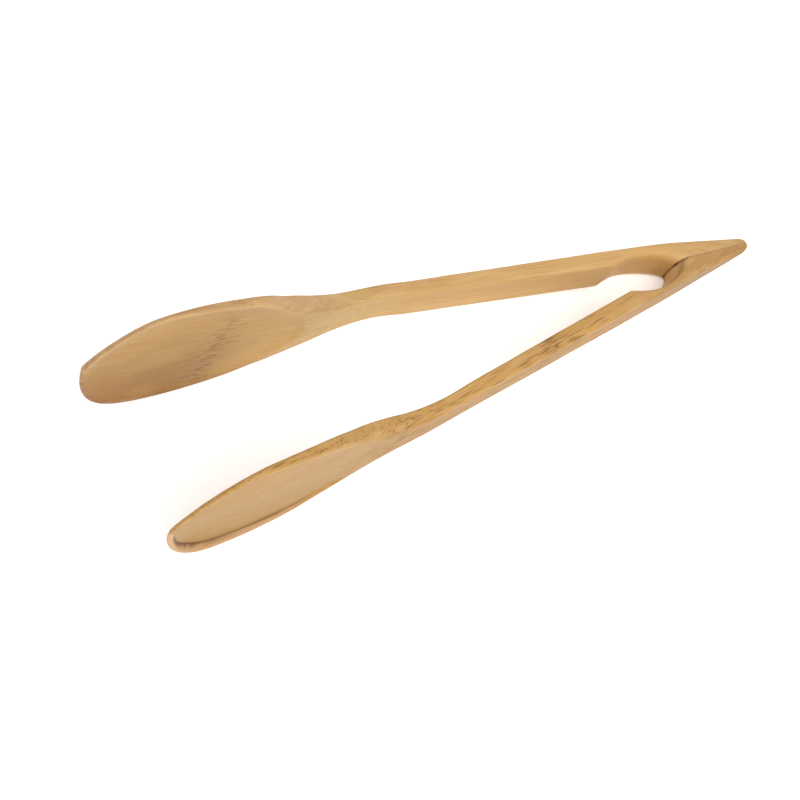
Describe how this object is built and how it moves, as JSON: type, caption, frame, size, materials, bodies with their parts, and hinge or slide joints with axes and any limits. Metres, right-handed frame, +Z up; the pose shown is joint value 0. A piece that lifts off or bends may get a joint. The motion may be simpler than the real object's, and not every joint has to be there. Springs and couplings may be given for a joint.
{
  "type": "spring tongs",
  "caption": "Long bamboo kitchen tongs: two glued halves with wide spoon-shaped ends, sprung open by thin necks beside an oval hole.",
  "frame": {"origin": "bottom centre of the bounding box, on the surface the tongs lie on", "axes": "+X from the joined tail towards the paddle tips, +Y across the opening from the scooped arm to the lipped arm, +Z up; the tongs lie on one side, on both paddle edges and the tail, so their width direction leans 6.2 degrees from +Z"},
  "size_m": [0.3034, 0.0688, 0.0664],
  "materials": {
    "bamboo": "satin",
    "bamboo_neck": "satin",
    "glue": "matte"
  },
  "bodies": {
    "tail": {"scooped_tail": "bamboo", "lipped_tail": "bamboo", "glue_line": "glue", "scooped_neck": "bamboo_neck", "lipped_neck": "bamboo_neck"},
    "scooped_arm": {"scooped_arm": "bamboo"},
    "lipped_arm": {"lipped_arm": "bamboo"}
  },
  "joints": [
    {"name": "scooped_neck_flex", "type": "hinge", "parent": "tail", "child": "scooped_arm", "pos_m": [-0.08749, -0.00927, 0.01107], "axis": [-0.1078, 0, 0.9942], "range_deg": [-2, 7.3], "stiffness_Nm_per_rad": 8, "deforming": ["scooped_neck"]},
    {"name": "lipped_neck_flex", "type": "hinge", "parent": "tail", "child": "lipped_arm", "pos_m": [-0.08749, 0.00992, 0.01107], "axis": [0.1078, 0, -0.9942], "range_deg": [-2, 7], "stiffness_Nm_per_rad": 8, "deforming": ["lipped_neck"]}
  ]
}
